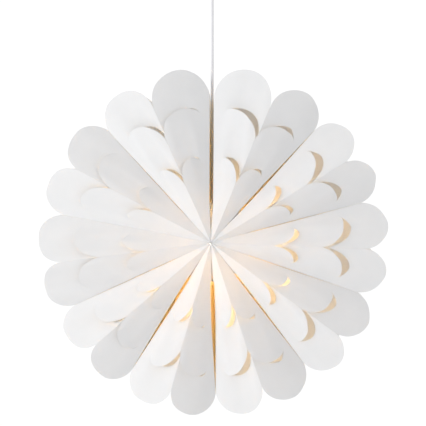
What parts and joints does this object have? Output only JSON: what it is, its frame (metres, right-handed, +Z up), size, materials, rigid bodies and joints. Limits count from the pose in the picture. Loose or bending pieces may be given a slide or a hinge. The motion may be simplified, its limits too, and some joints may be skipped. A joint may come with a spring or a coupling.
{
  "type": "paper snowflake star pendant lamp",
  "caption": "Hanging paper star lantern of pleated die-cut card walls with rounded lobes and crescent cut-outs, on a pendant cord with ceiling cup, lampholder and bulb.",
  "frame": {"origin": "centre of the ceiling plate's back face, where it meets the ceiling", "axes": "+Z up towards the ceiling, -Y the star's front, +X to the right seen from the front"},
  "size_m": [0.6283, 0.116, 0.853],
  "materials": {
    "star_card": "matte",
    "thread": "matte",
    "cord_sheath": "satin",
    "white_plastic": "satin",
    "zinc_steel": "satin",
    "brass": "satin",
    "core_plastic": "gloss",
    "ceramic": "satin",
    "bulb_opal": "gloss",
    "clear_glass": "gloss",
    "black_glass": "gloss",
    "filament": "matte"
  },
  "bodies": {
    "ceiling": {"ceiling_plate": "zinc_steel", "ceiling_hook": "zinc_steel"},
    "link": {"hook_ring": "zinc_steel"},
    "pendant": {"cord_hanger": "white_plastic", "clamp_screw": "zinc_steel", "terminal_block": "white_plastic", "terminal_screws": "brass", "core_wires": "core_plastic", "cord": "cord_sheath", "cord_grip": "white_plastic", "holder_cap": "white_plastic", "holder_shell": "white_plastic", "shade_ring": "white_plastic", "holder_core": "ceramic", "socket_thread": "brass", "centre_contact": "brass"},
    "cup": {"ceiling_cup": "white_plastic", "cup_screw": "zinc_steel"},
    "bulb": {"bulb_glass": "bulb_opal", "bulb_cap": "brass", "cap_insulator": "black_glass", "tip_contact": "brass", "filament_stem": "clear_glass", "led_filaments": "filament"},
    "star": {"sheet_01": "star_card", "sheet_02": "star_card", "sheet_03": "star_card", "sheet_04": "star_card", "sheet_05": "star_card", "sheet_06": "star_card", "sheet_07": "star_card", "sheet_08": "star_card", "sheet_09": "star_card", "sheet_10": "star_card", "sheet_11": "star_card", "sheet_12": "star_card", "sheet_13": "star_card", "sheet_14": "star_card", "sheet_15": "star_card", "sheet_16": "star_card", "sheet_17": "star_card", "sheet_18": "star_card", "sheet_19": "star_card", "sheet_20": "star_card", "seam_tie_lower": "thread", "seam_tie_upper": "thread"}
  },
  "joints": [
    {"name": "swing_depth", "type": "hinge", "parent": "ceiling", "child": "link", "pos_m": [0, 0, -0.021], "axis": [1, 0, 0], "range_deg": [-3, 3]},
    {"name": "swing_side", "type": "hinge", "parent": "link", "child": "pendant", "pos_m": [0, 0, -0.0321], "axis": [0, 1, 0], "range_deg": [-3, 3]},
    {"name": "cup_slide", "type": "slide", "parent": "pendant", "child": "cup", "axis": [0, 0, -1], "range_m": [0, 0.11]},
    {"name": "star_turn", "type": "hinge", "parent": "pendant", "child": "star", "pos_m": [0, 0, -0.54], "axis": [0, 0, 1], "continuous": true},
    {"name": "bulb_unscrew", "type": "slide", "parent": "pendant", "child": "bulb", "axis": [0, 0, -1], "range_m": [0, 0.02]}
  ]
}
